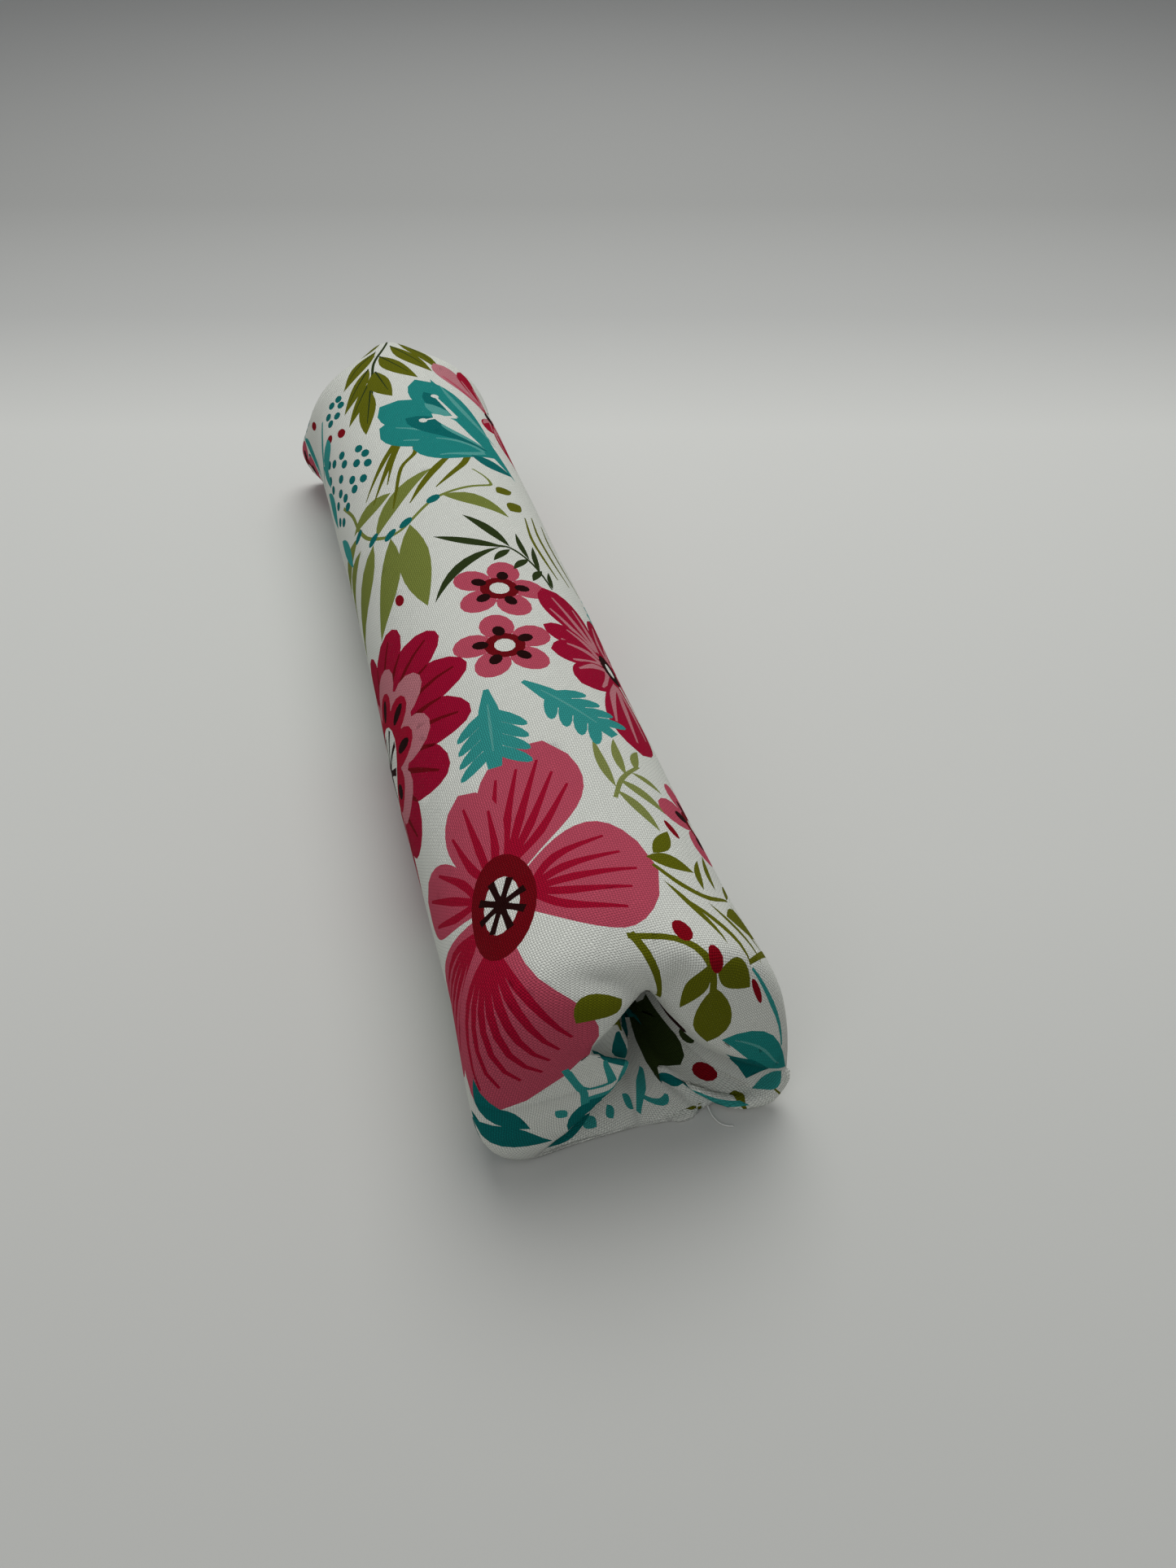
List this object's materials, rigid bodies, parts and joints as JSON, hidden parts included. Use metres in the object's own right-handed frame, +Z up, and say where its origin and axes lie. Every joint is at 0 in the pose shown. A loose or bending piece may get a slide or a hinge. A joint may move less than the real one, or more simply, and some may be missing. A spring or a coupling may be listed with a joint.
{
  "type": "fabric bolt",
  "caption": "Small roll of printed quilting cotton on a card tube, with both ends of the cloth folded in and tucked into the tube.",
  "frame": {"origin": "centre of the footprint, on the surface that the roll rests on", "axes": "+Y along the roll towards its far end, +Z up, +X to the right when the near end is looked at"},
  "size_m": [0.0588, 0.245, 0.044],
  "materials": {
    "core_tube": "spiral-wound kraft card",
    "inner_turns": "plain-weave quilting cotton",
    "outer_turn": "printed plain-weave quilting cotton",
    "end_fold": "printed plain-weave quilting cotton",
    "tuck": "printed plain-weave quilting cotton"
  },
  "bodies": {
    "root": {"core_tube": "core_tube", "inner_turns": "inner_turns", "outer_turn": "outer_turn", "near_end_fold": "end_fold", "near_top_pleat": "tuck", "near_right_tuck": "tuck", "near_floor_tuck": "tuck", "near_left_tuck": "tuck", "far_end_fold": "end_fold", "far_top_pleat": "tuck", "far_right_tuck": "tuck", "far_floor_tuck": "tuck", "far_left_tuck": "tuck"}
  },
  "joints": []
}
